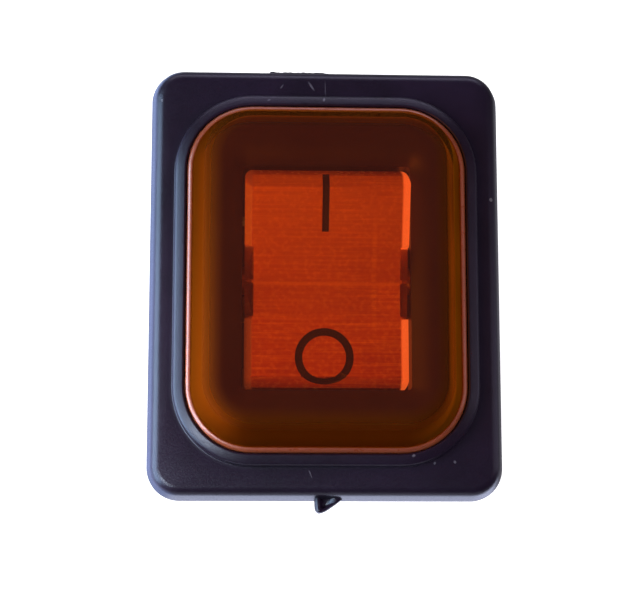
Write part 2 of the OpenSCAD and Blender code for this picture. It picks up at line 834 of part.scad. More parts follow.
// Places the children on the underside of the blade's contact wing.
module on_contact() {
    translate([0, -contact_at * cos(blade_rise), blade_under + contact_at * sin(blade_rise)])
        rotate([-blade_rise, 0, 0])
            children();
}

module contact_blade_left() { contact_blade(-1); }
module contact_blade_right() { contact_blade(1); }

// Rivet: head on one face of a strip, shank through it and the upset end on the other face.
module rivet(head_r, head_t, grip) {
    head_edge = 0.15;
    cylinder(h = head_edge, r1 = head_r - head_edge, r2 = head_r);
    translate([0, 0, head_edge])
        cylinder(h = head_t - head_edge, r = head_r);
    translate([0, 0, head_t - 0.1])
        cylinder(h = grip + 0.2, r = rivet_shank_r);
    translate([0, 0, head_t + grip])
        cylinder(h = rivet_upset_t, r1 = rivet_upset_r, r2 = 0.8 * rivet_upset_r);
}

module moving_contact(side) {
    color(silver)
    on_blade(side)
    on_contact()
    translate([0, 0, -contact_t])
        rivet(contact_r, contact_t, blade_t);
}

module moving_contact_left() { moving_contact(-1); }
module moving_contact_right() { moving_contact(1); }

// Push-on tab with the shoulders that stop it on the floor, standing in the XZ plane.
module tab(side, row) {
    half = tab_w / 2;
    tip = half - tab_chamfer;
    translate([side * pole_x, row * row_pitch, 0])
        difference() {
            rotate([90, 0, 0])
                linear_extrude(tab_t, center = true)
                    difference() {
                        union() {
                            polygon([[-tip, tab_tip_z], [tip, tab_tip_z],
                                [half, tab_tip_z + tab_chamfer], [half, floor_z + eps],
                                [-half, floor_z + eps], [-half, tab_tip_z + tab_chamfer]]);
                            translate([-shoulder_w / 2, floor_z])
                                square([shoulder_w, shoulder_h]);
                        }
                        translate([0, tab_tip_z + tab_hole_up])
                            circle(tab_hole_r);
                    }
            for (face = [0, 1])
                mirror([0, face, 0])
                    translate([0, tab_t / 2, tab_tip_z])
                        rotate([-20, 0, 0])
                            cube([tab_w + 1, 0.36 * tab_t, 2 * tab_chamfer], center = true);
        }
}

// Common terminal: tab, post and saddle whose round top carries the blade between two ears.
module common_terminal(side) {
    color(tinned) {
        tab(side, 0);
        translate([side * pole_x, 0, 0]) {
            translate([0, 0, fulcrum_z])
                rotate([0, 90, 0])
                    cylinder(h = post_w, r = fulcrum_r, center = true);
            translate([-post_w / 2, -tab_t / 2, floor_z + shoulder_h - eps])
                cube([post_w, tab_t, fulcrum_z - floor_z - shoulder_h + eps]);
            for (edge = [-1, 1])
                translate([edge * (post_w - ear_w) / 2 - ear_w / 2, -tab_t / 2, fulcrum_z])
                    cube([ear_w, tab_t, ear_h]);
        }
    }
}

module common_terminal_left() { common_terminal(-1); }
module common_terminal_right() { common_terminal(1); }

// Load terminal: tab and riser, bent over into the shelf that holds the fixed contact.
module load_terminal(side) {
    leg = shelf_z - floor_z - shoulder_h + eps;
    arm = row_pitch + tab_t / 2 - contact_y + shelf_in;
    color(tinned) {
        tab(side, -1);
        translate([side * pole_x, -row_pitch - tab_t / 2, shelf_z])
            difference() {
                along_x(shelf_w)
                    bent_section(leg, arm);
                translate([0, row_pitch + tab_t / 2 - contact_y, -tab_t - 1])
                    cylinder(h = tab_t + 2, r = rivet_shank_r + strip_play);
            }
    }
}

// Strip bent through a right angle: a leg that hangs down and an arm that reaches out.
module bent_section(leg, arm) {
    bend_r = tab_t + 0.5;
    difference() {
        bend_blank(leg, arm, bend_r);
        translate([tab_t, -tab_t])
            bend_blank(leg, arm, bend_r - tab_t);
    }
}

module bend_blank(leg, arm, r) {
    translate([0, -leg])
        square([arm, leg - r]);
    translate([r, -leg])
        square([arm - r, leg]);
    translate([r, -r])
        circle(r);
}

module load_terminal_left() { load_terminal(-1); }
module load_terminal_right() { load_terminal(1); }

// Fixed contact: silver rivet set in the shelf of the load terminal.
module fixed_contact(side) {
    color(silver)
    translate([side * pole_x, -contact_y, fixed_top])
        rotate([180, 0, 0])
            rivet(contact_r + 0.1, fixed_t, tab_t);
}

module fixed_contact_left() { fixed_contact(-1); }
module fixed_contact_right() { fixed_contact(1); }

boot_frame();
boot_dome();
housing();
rocker();
lamp_envelope();
lamp_electrodes();
lamp_resistor();
plunger_left();
plunger_right();
plunger_spring_left();
plunger_spring_right();
contact_blade_left();
contact_blade_right();
moving_contact_left();
moving_contact_right();
common_terminal_left();
common_terminal_right();
load_terminal_left();
load_terminal_right();
fixed_contact_left();
fixed_contact_right();
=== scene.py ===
import json
import math

import bmesh
import bpy
from mathutils import Matrix, Vector


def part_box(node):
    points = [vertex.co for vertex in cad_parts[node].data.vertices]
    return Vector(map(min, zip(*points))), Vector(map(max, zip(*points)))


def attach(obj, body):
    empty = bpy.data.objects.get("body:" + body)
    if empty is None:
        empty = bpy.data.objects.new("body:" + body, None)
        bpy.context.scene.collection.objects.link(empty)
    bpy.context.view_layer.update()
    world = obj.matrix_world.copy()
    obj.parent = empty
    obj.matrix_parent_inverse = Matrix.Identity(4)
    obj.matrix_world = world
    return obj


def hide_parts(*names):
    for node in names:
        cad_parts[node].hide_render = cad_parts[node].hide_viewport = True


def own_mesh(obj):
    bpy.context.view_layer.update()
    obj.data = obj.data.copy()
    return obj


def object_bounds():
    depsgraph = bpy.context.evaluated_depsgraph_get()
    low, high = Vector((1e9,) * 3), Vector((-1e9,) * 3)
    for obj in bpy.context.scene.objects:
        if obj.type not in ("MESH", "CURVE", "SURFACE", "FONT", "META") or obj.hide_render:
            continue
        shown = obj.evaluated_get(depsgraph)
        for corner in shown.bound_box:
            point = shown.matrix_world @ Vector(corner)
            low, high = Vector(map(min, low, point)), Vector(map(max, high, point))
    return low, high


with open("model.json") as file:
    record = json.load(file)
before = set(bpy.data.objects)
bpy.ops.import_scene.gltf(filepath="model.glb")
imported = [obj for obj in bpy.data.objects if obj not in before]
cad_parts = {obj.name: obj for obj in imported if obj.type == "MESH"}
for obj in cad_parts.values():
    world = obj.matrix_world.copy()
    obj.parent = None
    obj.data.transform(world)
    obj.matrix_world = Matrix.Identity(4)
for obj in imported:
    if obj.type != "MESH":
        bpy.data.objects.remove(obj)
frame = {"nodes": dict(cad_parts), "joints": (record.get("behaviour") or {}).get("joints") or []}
cad_lo, cad_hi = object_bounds()
nodes = frame["nodes"]
joints = {joint["name"]: joint for joint in frame["joints"]}
MM = 0.001


# Terminals: four push-on tabs stamped from half-hard brass strip, tin plated before stamping, so
# the cut edges show the brass. They are pressed through the slots in the housing's floor and the
# two outer ones are bent over inside to carry the fixed contacts.
def add(tree, kind, **inputs):
    """Add a shader node; keywords set its sockets by name, with _ for a space."""
    made = tree.nodes.new(kind)
    for label, value in inputs.items():
        made.inputs[label.replace("_", " ")].default_value = value
    return made


def object_place(tree):
    """The shaded point in its piece's own coordinates, as a socket."""
    return tree.nodes.new("ShaderNodeTexCoord").outputs["Object"]


def split(tree, vector):
    """The x, y and z sockets of a vector socket."""
    made = tree.nodes.new("ShaderNodeSeparateXYZ")
    tree.links.new(vector, made.inputs[0])
    return made.outputs


def math_node(tree, operation, first, second=None, third=None):
    """Add a math node on sockets or plain numbers and give back its output."""
    made = tree.nodes.new("ShaderNodeMath")
    made.operation = operation
    for socket, value in zip(made.inputs, (first, second, third)):
        if isinstance(value, bpy.types.NodeSocket):
            tree.links.new(value, socket)
        elif value is not None:
            socket.default_value = value
    return made.outputs[0]


def blend_colour(tree, mask, first, second):
    """Mix two colours, given as sockets or linear RGB, by a mask socket."""
    made = tree.nodes.new("ShaderNodeMix")
    made.data_type = "RGBA"
    tree.links.new(mask, made.inputs[0])
    for socket, value in ((made.inputs[6], first), (made.inputs[7], second)):
        if isinstance(value, bpy.types.NodeSocket):
            tree.links.new(value, socket)
        else:
            socket.default_value = (*value, 1)
    return made.outputs[2]


def span(tree, value, low, high, to_low=0.0, to_high=1.0):
    """Map a value socket from one range to another, held at the ends."""
    made = add(tree, "ShaderNodeMapRange", From_Min=low, From_Max=high, To_Min=to_low, To_Max=to_high)
    tree.links.new(value, made.inputs["Value"])
    return made.outputs["Result"]


def effect(name, inputs, outputs):
    """Start a shader node group with float inputs and outputs."""
    group = bpy.data.node_groups.new(name, "ShaderNodeTree")
    for label, value in inputs.items():
        socket = group.interface.new_socket(label, in_out="INPUT", socket_type="NodeSocketFloat")
        socket.default_value = value
    for label in outputs:
        group.interface.new_socket(label, in_out="OUTPUT", socket_type="NodeSocketFloat")
    return group, group.nodes.new("NodeGroupInput").outputs, group.nodes.new("NodeGroupOutput").inputs


def use(tree, group, **inputs):
    """Place a node group in a material and give back its outputs."""
    made = tree.nodes.new("ShaderNodeGroup")
    made.node_tree = group
    for label, value in inputs.items():
        made.inputs[label.replace("_", " ")].default_value = value
    return made.outputs


def bump(tree, height, distance):
    """Turn a height socket into a normal, the distance being metres for a height of one."""
    made = add(tree, "ShaderNodeBump", Strength=1.0, Distance=distance)
    tree.links.new(height, made.inputs["Height"])
    return made.outputs["Normal"]


def material(name):
    """Start a material and give back it, its tree and its Principled shader."""
    made = bpy.data.materials.new(name)
    made.use_nodes = True
    return made, made.node_tree, made.node_tree.nodes["Principled BSDF"]


def dress(names, surface):
    """Give CAD nodes one surface."""
    for name in names:
        nodes[name].data.materials.clear()
        nodes[name].data.materials.append(surface)


rolled, rolled_in, rolled_out = effect("rolled_strip", {"Scale": 9000, "Stretch": 14}, ["Streak", "Stain"])
where = object_place(rolled)
stretch = rolled.nodes.new("ShaderNodeVectorMath")
stretch.operation = "MULTIPLY"
thin = add(rolled, "ShaderNodeCombineXYZ", X=1.0, Y=1.0)
rolled.links.new(math_node(rolled, "DIVIDE", 1.0, rolled_in["Stretch"]), thin.inputs["Z"])
rolled.links.new(where, stretch.inputs[0])
rolled.links.new(thin.outputs[0], stretch.inputs[1])
streak = add(rolled, "ShaderNodeTexNoise", Detail=4.0, Roughness=0.6)
rolled.links.new(stretch.outputs[0], streak.inputs["Vector"])
rolled.links.new(rolled_in["Scale"], streak.inputs["Scale"])
stain = add(rolled, "ShaderNodeTexNoise", Scale=420.0, Detail=3.0, Roughness=0.55)
rolled.links.new(where, stain.inputs["Vector"])
rolled.links.new(streak.outputs["Fac"], rolled_out["Streak"])
rolled.links.new(span(rolled, stain.outputs["Fac"], 0.35, 0.7), rolled_out["Stain"])

tinned, tree, shader = material("tinned_brass")
strip = use(tree, rolled)
facing = split(tree, tree.nodes.new("ShaderNodeNewGeometry").outputs["True Normal"])
cut_edge = span(tree, math_node(tree, "ABSOLUTE", facing["X"]), 0.6, 0.8)
plate = blend_colour(tree, strip["Stain"], (0.62, 0.61, 0.58), (0.46, 0.45, 0.42))
tree.links.new(blend_colour(tree, cut_edge, plate, (0.62, 0.40, 0.15)), shader.inputs["Base Color"])
tree.links.new(span(tree, strip["Streak"], 0.3, 0.7, 0.24, 0.42), shader.inputs["Roughness"])
shader.inputs["Metallic"].default_value = 1
tree.links.new(bump(tree, strip["Streak"], 4e-6), shader.inputs["Normal"])
dress(("common_terminal_left", "common_terminal_right", "load_terminal_left", "load_terminal_right"), tinned)


# Contacts: four silver-alloy rivets, cold headed. Two are set in the shelves of the outer terminals
# and two in the blades. The silver is tarnished in patches.
def bare_metal(name, scale, clean, stained, rough, depth):
    """Bare metal: its colours clean and stained, its range of roughness and its texture's depth in metres."""
    surface, tree, shader = material(name)
    strip = use(tree, rolled, Scale=scale, Stretch=1.0)
    tree.links.new(blend_colour(tree, strip["Stain"], clean, stained), shader.inputs["Base Color"])
    tree.links.new(span(tree, strip["Streak"], 0.3, 0.7, *rough), shader.inputs["Roughness"])
    shader.inputs["Metallic"].default_value = 1
    tree.links.new(bump(tree, strip["Streak"], depth), shader.inputs["Normal"])
    return surface


silver = bare_metal("contact_silver", 6000.0, (0.80, 0.79, 0.76), (0.52, 0.50, 0.47), (0.2, 0.4), 6e-6)
dress(("fixed_contact_left", "fixed_contact_right", "moving_contact_left", "moving_contact_right"), silver)


# Housing: one moulding in black glass-filled nylon with its flange, bezel and snap wings. The mould
# is spark eroded, so the surface has a fine even grain and a soft gloss with faint flow patches.
grain, grain_in, grain_out = effect("moulded_grain", {"Scale": 9000, "Patch": 260}, ["Height", "Patch"])
where = object_place(grain)
fine = add(grain, "ShaderNodeTexNoise", Detail=2.0, Roughness=0.5)
grain.links.new(where, fine.inputs["Vector"])
grain.links.new(grain_in["Scale"], fine.inputs["Scale"])
broad = add(grain, "ShaderNodeTexNoise", Detail=3.0, Roughness=0.6)
grain.links.new(where, broad.inputs["Vector"])
grain.links.new(grain_in["Patch"], broad.inputs["Scale"])
grain.links.new(fine.outputs["Fac"], grain_out["Height"])
grain.links.new(span(grain, broad.outputs["Fac"], 0.3, 0.7), grain_out["Patch"])

nylon, tree, shader = material("nylon_black")
skin = use(tree, grain, Scale=14000.0, Patch=300.0)
nylon_tone = blend_colour(tree, skin["Patch"], (0.010, 0.008, 0.010), (0.017, 0.014, 0.016))
tree.links.new(nylon_tone, shader.inputs["Base Color"])
tree.links.new(span(tree, skin["Height"], 0.3, 0.7, 0.36, 0.5), shader.inputs["Roughness"])
shader.inputs["Specular IOR Level"].default_value = 0.32
tree.links.new(bump(tree, skin["Height"], 8e-6), shader.inputs["Normal"])
dress(("housing",), nylon)


# Contact blades: two rocking strips of springy brass, stamped and bent to a shallow V, each lying on
# the saddle of its common terminal. The brass has darkened in patches.
brass = bare_metal("brass", 7000.0, (0.72, 0.50, 0.20), (0.50, 0.31, 0.11), (0.2, 0.4), 4e-6)
dress(("contact_blade_left", "contact_blade_right"), brass)


# Plungers: two deep-drawn brass cups with round noses, sliding in the rocker's tubes and pressing
# on the blades. They have the same finish as the blades.
dress(("plunger_left", "plunger_right"), brass)


# Plunger springs: two coils of drawn steel wire that sit in the plungers and bear on the underside
# of the rocker. The coils lie closer at their ends and middle; they are built at rest and ride on the rocker,
# so they don't shorten as the plungers slide.
def join_rings(shape, low, high, smooth=True):
    """Join two rings of as many points by quads and give back the faces."""
    faces = []
    for place in range(len(low)):
        ahead = (place + 1) % len(low)
        face = shape.faces.new((low[place], low[ahead], high[ahead], high[place]))
        face.smooth = smooth
        faces.append(face)
    return faces


def finished(shape, name):
    """Turn all faces outward and make the shape a mesh."""
    bmesh.ops.recalc_face_normals(shape, faces=shape.faces)
    mesh = bpy.data.meshes.new(name)
    shape.to_mesh(mesh)
    shape.free()
    return mesh


def tube_mesh(name, path, radius, sides):
    """Skin a round wire along a list of points, with flat ends."""
    shape = bmesh.new()
    aside = Vector((0.1, 0.2, 1))
    turns = [2 * math.pi * step / sides for step in range(sides)]
    rings = []
    for index, point in enumerate(path):
        ahead = path[min(index + 1, len(path) - 1)] - path[max(index - 1, 0)]
        across = ahead.cross(aside).normalized()
        rise = ahead.cross(across).normalized()
        spokes = [math.cos(turn) * across + math.sin(turn) * rise for turn in turns]
        rings.append([shape.verts.new(point + radius * spoke) for spoke in spokes])
    for low, high in zip(rings, rings[1:]):
        join_rings(shape, low, high)
    shape.faces.new(list(reversed(rings[0])))
    shape.faces.new(rings[-1])
    return finished(shape, name)


def show(name, mesh, body, *surfaces):
    """Make a mesh into a piece that rides on a body."""
    piece = bpy.data.objects.new(name, mesh)
    bpy.context.scene.collection.objects.link(piece)
    for surface in surfaces:
        mesh.materials.append(surface)
    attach(piece, body)
    return piece


steel = bare_metal("spring_steel", 12000.0, (0.50, 0.51, 0.53), (0.36, 0.37, 0.39), (0.2, 0.36), 2e-6)

pivot = Vector(joints["rocker_tilt"]["pos_m"])
rocker_up = Vector(joints["plunger_slide_left"]["axis"]).normalized()
rocker_along = Vector((1, 0, 0)).cross(rocker_up) * -1
coil_turns = 8
coil_steps = coil_turns * 32
coil_r = 0.75 * MM
coil_evenness = 14
coil_wire_r = 0.14 * MM
coil_wire_sides = 10
for side in ("left", "right"):
    spring = nodes["plunger_spring_" + side]
    heights = [(vert.co - pivot).dot(rocker_up) for vert in spring.data.vertices]
    low, high = min(heights) + coil_wire_r, max(heights) - coil_wire_r
    lo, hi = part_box("plunger_spring_" + side)
    axis_x = (lo[0] + hi[0]) / 2
    path = []
    for step in range(coil_steps + 1):
        share = step / coil_steps
        turn = 2 * math.pi * coil_turns * share
        rise = low + (high - low) * (share - math.sin(4 * math.pi * share) / coil_evenness)
        across = Vector((axis_x + coil_r * math.cos(turn), 0, 0))
        path.append(pivot + across + rocker_along * (-coil_r * math.sin(turn)) + rocker_up * rise)
    coil_mesh = tube_mesh("spring_coil_" + side, path, coil_wire_r, coil_wire_sides)
    coil = show("spring_coil_" + side, coil_mesh, "rocker", steel)
    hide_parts("plunger_spring_" + side)
    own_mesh(coil)


# Lamp: a small neon tube of soft glass with two nickel rods, and a series resistor in tan lacquer
# with colour rings. It is snapped into the cradle under the rocker, and its leads run to the springs.
def off_from(tree, value, place):
    """How far a value socket is from a place, to either side."""
    return math_node(tree, "ABSOLUTE", math_node(tree, "SUBTRACT", value, place))


def along_rocker(tree, where):
    """How far a point socket lies along the rocker, towards its raised end."""
    made = tree.nodes.new("ShaderNodeVectorMath")
    made.operation = "DOT_PRODUCT"
    made.inputs[1].default_value = rocker_along
    tree.links.new(where, made.inputs[0])
    return made.outputs["Value"]


glass, tree, shader = material("lamp_glass")
skin = use(tree, grain, Scale=700.0, Patch=200.0)
shader.inputs["Base Color"].default_value = (0.96, 0.94, 0.90, 1)
tree.links.new(span(tree, skin["Patch"], 0.0, 1.0, 0.02, 0.08), shader.inputs["Roughness"])
shader.inputs["IOR"].default_value = 1.5
shader.inputs["Transmission Weight"].default_value = 1
tree.links.new(bump(tree, skin["Height"], 2e-5), shader.inputs["Normal"])
dress(("lamp_envelope",), glass)

wire = bare_metal("lead_wire", 11000.0, (0.56, 0.56, 0.57), (0.40, 0.40, 0.41), (0.25, 0.45), 3e-6)
dress(("lamp_electrodes",), wire)

lacquer, tree, shader = material("resistor_coat")
skin = use(tree, grain, Scale=5000.0, Patch=500.0)
along = along_rocker(tree, object_place(tree))
centre = sum((Vector(corner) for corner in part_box("lamp_resistor")), Vector()) / 2
middle = centre.dot(rocker_along)
colour_rings = (
    (-2.2 * MM, (0.20, 0.07, 0.02)),
    (-0.9 * MM, (0.02, 0.02, 0.02)),
    (0.1 * MM, (0.75, 0.60, 0.05)),
    (2.2 * MM, (0.60, 0.42, 0.12)),
)
colour_ring_fade = (0.28 * MM, 0.24 * MM)
colour = blend_colour(tree, skin["Patch"], (0.56, 0.42, 0.25), (0.47, 0.34, 0.19))
for place, ring_colour in colour_rings:
    in_ring = span(tree, off_from(tree, along, middle + place), *colour_ring_fade)
    colour = blend_colour(tree, in_ring, colour, ring_colour)
tree.links.new(colour, shader.inputs["Base Color"])
tree.links.new(span(tree, skin["Height"], 0.3, 0.7, 0.3, 0.45), shader.inputs["Roughness"])
tree.links.new(bump(tree, skin["Height"], 1e-5), shader.inputs["Normal"])
dress(("lamp_resistor",), lacquer)


# Rocker: one moulding in translucent orange polycarbonate, polished above and finely ribbed below,
# with the bar and ring marks sunk into its face and filled with black paint.
rocker_w = 13.8 * MM
crease_h = 2.3 * MM
wing_flat = 8.0 * MM
wing_tilt = math.radians(11)
band_fall = math.radians(34)
mark_depth = 0.22 * MM
mark_over = 0.5 * MM


def on_face(x, run, lift, half):
    """A point on the rocker's face, run metres from the crease along one half, lifted off it."""
    along, rise = run * math.cos(wing_tilt), crease_h + run * math.sin(wing_tilt)
    out = Vector((-math.sin(wing_tilt), math.cos(wing_tilt)))
    if run > wing_flat:
        along = wing_flat * math.cos(wing_tilt) + (run - wing_flat) * math.cos(band_fall)
        rise = crease_h + wing_flat * math.sin(wing_tilt) - (run - wing_flat) * math.sin(band_fall)
        out = Vector((math.sin(band_fall), math.cos(band_fall)))
    elif run == wing_flat:
        out = Vector((math.tan((band_fall - wing_tilt) / 2), 1))
    along, rise = along + lift * out[0], rise + lift * out[1]
    return pivot + Vector((x, 0, 0)) + rocker_along * (half * along) + rocker_up * rise


def mark_cutter(name, strips, half, surface, closed):
    """A solid that follows the face, from strips of two (x, run) pairs, joined end to end if closed."""
    shape = bmesh.new()
    rows = []
    for first, second in strips:
        corners = ((first, -mark_depth), (second, -mark_depth), (second, mark_over), (first, mark_over))
        rows.append([shape.verts.new(on_face(x, run, lift, half)) for (x, run), lift in corners])
    if closed:
        rows.append(rows[0])
    for low, high in zip(rows, rows[1:]):
        join_rings(shape, low, high, smooth=False)
    if not closed:
        shape.faces.new(list(reversed(rows[0])))
        shape.faces.new(rows[-1])
    mesh = finished(shape, name)
    mesh.materials.append(surface)
    cutter = bpy.data.objects.new(name, mesh)
    bpy.context.scene.collection.objects.link(cutter)
    return cutter


paint, tree, shader = material("mark_paint")
skin = use(tree, grain, Scale=9000.0, Patch=900.0)
paint_tone = blend_colour(tree, skin["Patch"], (0.004, 0.004, 0.008), (0.010, 0.008, 0.014))
tree.links.new(paint_tone, shader.inputs["Base Color"])
tree.links.new(span(tree, skin["Height"], 0.3, 0.7, 0.3, 0.5), shader.inputs["Roughness"])
tree.links.new(bump(tree, skin["Height"], 1.2e-5), shader.inputs["Normal"])

rib_pitch = 0.38 * MM
glow_edge_fade = (rocker_w / 2 - 0.74 * MM, rocker_w / 2 - 0.56 * MM)
crease_fade = (0.22 * MM, 0.05 * MM)
tube_glint_x = 3.95 * MM
tube_glint_fade = (0.26 * MM, 0.1 * MM)
tube_glint_upper_fade = (6.2 * MM, 3.0 * MM)
tube_glint_lower_fade = (-4.8 * MM, -2.5 * MM)
pressed_end_shade_run = (-7 * MM, 7 * MM)
lowest_edge_shade_fade = (-9.0 * MM, -9.35 * MM)
edge_glow_fade = (2.9 * MM, 3.0 * MM)

orange, tree, shader = material("rocker_orange")
skin = use(tree, grain, Scale=2600.0, Patch=190.0)
where = object_place(tree)
across = split(tree, where)["X"]
along = along_rocker(tree, where)

# Fine ribs under the face, and uneven lines drawn across it, show as paler streaks.
rib = math_node(tree, "SINE", math_node(tree, "MULTIPLY", along, 2 * math.pi / rib_pitch))
drawn = tree.nodes.new("ShaderNodeCombineXYZ")
tree.links.new(math_node(tree, "MULTIPLY", across, 0.03), drawn.inputs["X"])
tree.links.new(along, drawn.inputs["Y"])
lines = add(tree, "ShaderNodeTexNoise", Scale=4000.0, Detail=2.0, Roughness=0.6)
tree.links.new(drawn.outputs[0], lines.inputs["Vector"])
line_share = span(tree, skin["Patch"], 0.1, 0.8, 0.24, 0.7)
rib_tone = math_node(tree, "MULTIPLY", span(tree, lines.outputs["Fac"], 0.45, 0.72), line_share)
rib_tone = math_node(tree, "MULTIPLY_ADD", span(tree, rib, 0.0, 1.0), 0.12, rib_tone)
rib_tone = math_node(tree, "MULTIPLY_ADD", span(tree, skin["Height"], 0.42, 0.62), 0.22, rib_tone)

# Painted light: the side edges are painted paler, brighter on the right, standing in for light led through
# the moulding. The crease in the middle is paler too.
edge = span(tree, math_node(tree, "ABSOLUTE", across), *glow_edge_fade)
off_crease = math_node(tree, "ABSOLUTE", along)
crease = span(tree, off_crease, *crease_fade, 0.0, 0.5)
# Painted highlight: a pale streak right of the middle stands in for the plunger tube's wall catching light
# under the face.
tube_glint = span(tree, off_from(tree, across, tube_glint_x), *tube_glint_fade)
tube_glint = math_node(tree, "MULTIPLY", tube_glint, span(tree, along, *tube_glint_upper_fade))
tube_glint = math_node(tree, "MULTIPLY", tube_glint, span(tree, along, *tube_glint_lower_fade))
tube_glint = math_node(tree, "MULTIPLY", tube_glint, span(tree, lines.outputs["Fac"], 0.4, 0.62, 0.1, 0.75))
# Painted shade: the face is darker and redder towards its pressed end.
face = blend_colour(tree, span(tree, along, *pressed_end_shade_run), (0.58, 0.175, 0.009), (0.69, 0.365, 0.013))
face = blend_colour(tree, rib_tone, face, (0.92, 0.52, 0.028))
face = blend_colour(tree, math_node(tree, "MAXIMUM", tube_glint, crease), face, (1.0, 0.62, 0.06))
to_right = span(tree, across, -rocker_w / 2, rocker_w / 2)
edge_glow_tone = blend_colour(tree, to_right, (0.46, 0.22, 0.03), (0.74, 0.34, 0.04))
face = blend_colour(tree, edge, face, edge_glow_tone)

# Painted shade: the lowest edge, down in the bezel, is painted dark.
lowest_edge_shade = span(tree, along, *lowest_edge_shade_fade)
tree.links.new(blend_colour(tree, lowest_edge_shade, face, (0.12, 0.02, 0.003)), shader.inputs["Base Color"])

# Painted light: the side edges of both halves glow by emission, standing in for light led through the
# moulding, most on the right.
edge_glow = math_node(tree, "MULTIPLY", edge, span(tree, across, -rocker_w / 2, rocker_w / 2, 0.1, 1.0))
edge_glow = math_node(tree, "MULTIPLY", edge_glow, span(tree, off_crease, *edge_glow_fade))
edge_glow = math_node(tree, "MULTIPLY", edge_glow, math_node(tree, "SUBTRACT", 1.0, lowest_edge_shade))
edge_glow_colour = blend_colour(tree, edge_glow, (0.0, 0.0, 0.0), (0.95, 0.42, 0.46))
tree.links.new(edge_glow_colour, shader.inputs["Emission Color"])
shader.inputs["Emission Strength"].default_value = 1
tree.links.new(span(tree, skin["Height"], 0.3, 0.7, 0.2, 0.3), shader.inputs["Roughness"])
shader.inputs["IOR"].default_value = 1.58
shader.inputs["Subsurface Weight"].default_value = 0.35
shader.inputs["Subsurface Radius"].default_value = (1.0, 0.35, 0.1)
shader.inputs["Subsurface Scale"].default_value = 0.6 * MM
tree.links.new(bump(tree, rib, 3e-6), shader.inputs["Normal"])

bar_half = 0.29 * MM
bar_from = 4.25 * MM
bar_to = 9.6 * MM
bar_x = -0.185 * MM
bar_runs = (bar_from, wing_flat, bar_to)
bar_strips = [((bar_x - bar_half, run), (bar_x + bar_half, run)) for run in bar_runs]
bar = mark_cutter("bar_cutter", bar_strips, 1, paint, closed=False)

ring_at = 6.4 * MM
ring_out = 2.46 * MM
ring_in = 1.82 * MM
ring_x = -0.22 * MM
ring_steps = 96
ring_turns = [2 * math.pi * step / ring_steps for step in range(ring_steps)]
ring_strips = [((ring_x + ring_in * math.cos(turn), ring_at + ring_in * math.sin(turn)),
                (ring_x + ring_out * math.cos(turn), ring_at + ring_out * math.sin(turn)))
               for turn in ring_turns]
ring = mark_cutter("ring_cutter", ring_strips, -1, paint, closed=True)

lens = bpy.data.meshes.new("rocker_lens")
shape = bmesh.new()
shape.from_mesh(nodes["rocker"].data)
bmesh.ops.remove_doubles(shape, verts=shape.verts, dist=1e-7)
shape.to_mesh(lens)
shape.free()
rocker = show("rocker_lens", lens, "rocker", orange)
for cutter in (bar, ring):
    cut = rocker.modifiers.new(cutter.name, "BOOLEAN")
    cut.operation = "DIFFERENCE"
    cut.solver = "EXACT"
    cut.material_mode = "TRANSFER"
    cut.object = cutter
bpy.context.view_layer.update()
marked = bpy.data.meshes.new_from_object(rocker.evaluated_get(bpy.context.evaluated_depsgraph_get()))
rocker.modifiers.clear()
rocker.data = marked
for cutter in (bar, ring):
    bpy.data.objects.remove(cutter)
for polygon in marked.polygons:
    polygon.use_smooth = True
lens_sharp_above = math.radians(20)
marked.set_sharp_from_angle(angle=lens_sharp_above)
level = rocker.modifiers.new("face_normals", "WEIGHTED_NORMAL")
level.weight = 100
level.keep_sharp = True
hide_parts("rocker")


# Boot frame: a soft black PVC ring, moulded round the housing's flange with a lip behind it. It has
# leaning satin walls, a low round collar at the dome, a broken gate stub below and a little flash above.
# Sizes of the ring and the dome are in millimetres and degrees.
frame_half = (15.0, 18.6)
frame_r = 2.8
frame_top = 2.0
frame_side_in = 0.55
frame_lean = math.degrees(math.atan2(frame_side_in, frame_top))
frame_edge_r = 1.0
frame_crown = 0.05
frame_crown_at = 84
lip_t = 0.4
flange_top = 1.4
pocket_half = (12.8, 16.3)
pocket_r = 1.6
hole_half = (11.0, 14.5)
hole_r = 0.9
dome_half = (11.8, 14.8)
dome_r = 5.6
dome_foot = 0.6
foot_top = 1.8
foot_play = 0.1
collar_flat = 1.4
collar_out = 1.05
collar_top = 3.05
collar_foot_r = 0.1
collar_shoulder_r = 0.4
collar_shoulder_drop = 0.59
collar_lip_r = 0.15
collar_ramp = 69
collar_gap = 0.05


def rounded_ring(half_w, half_h, radius, level, corner_steps=16, side_steps=12):
    """Points of a rounded rectangle at one level, anticlockwise from the upper end of the right side."""
    corners = ((1, 1), (-1, 1), (-1, -1), (1, -1))
    reach_x, reach_y = half_w - radius, half_h - radius

    def on_corner(corner, turn):
        x = corner[0] * reach_x + radius * math.cos(turn)
        y = corner[1] * reach_y + radius * math.sin(turn)
        return Vector((x, y, level))

    points = []
    for quarter, corner in enumerate(corners):
        turns = [math.pi / 2 * (quarter + step / corner_steps) for step in range(corner_steps + 1)]
        points += [on_corner(corner, turn) for turn in turns]
        start = points[-1]
        goal = on_corner(corners[(quarter + 1) % len(corners)], turns[-1])
        points += [start.lerp(goal, step / side_steps) for step in range(1, side_steps)]
    return points


def dome_ring(out, level):
    """The dome's outline at one level, wider by out all round."""
    return rounded_ring(dome_half[0] + out, dome_half[1] + out, dome_r + out, level)


def arc(centre, radius, start, end, steps):
    """Points of an arc in a section, in degrees."""
    turns = [math.radians(start + (end - start) * step / steps) for step in range(steps + 1)]
    return [(centre[0] + radius * math.cos(turn), centre[1] + radius * math.sin(turn)) for turn in turns]


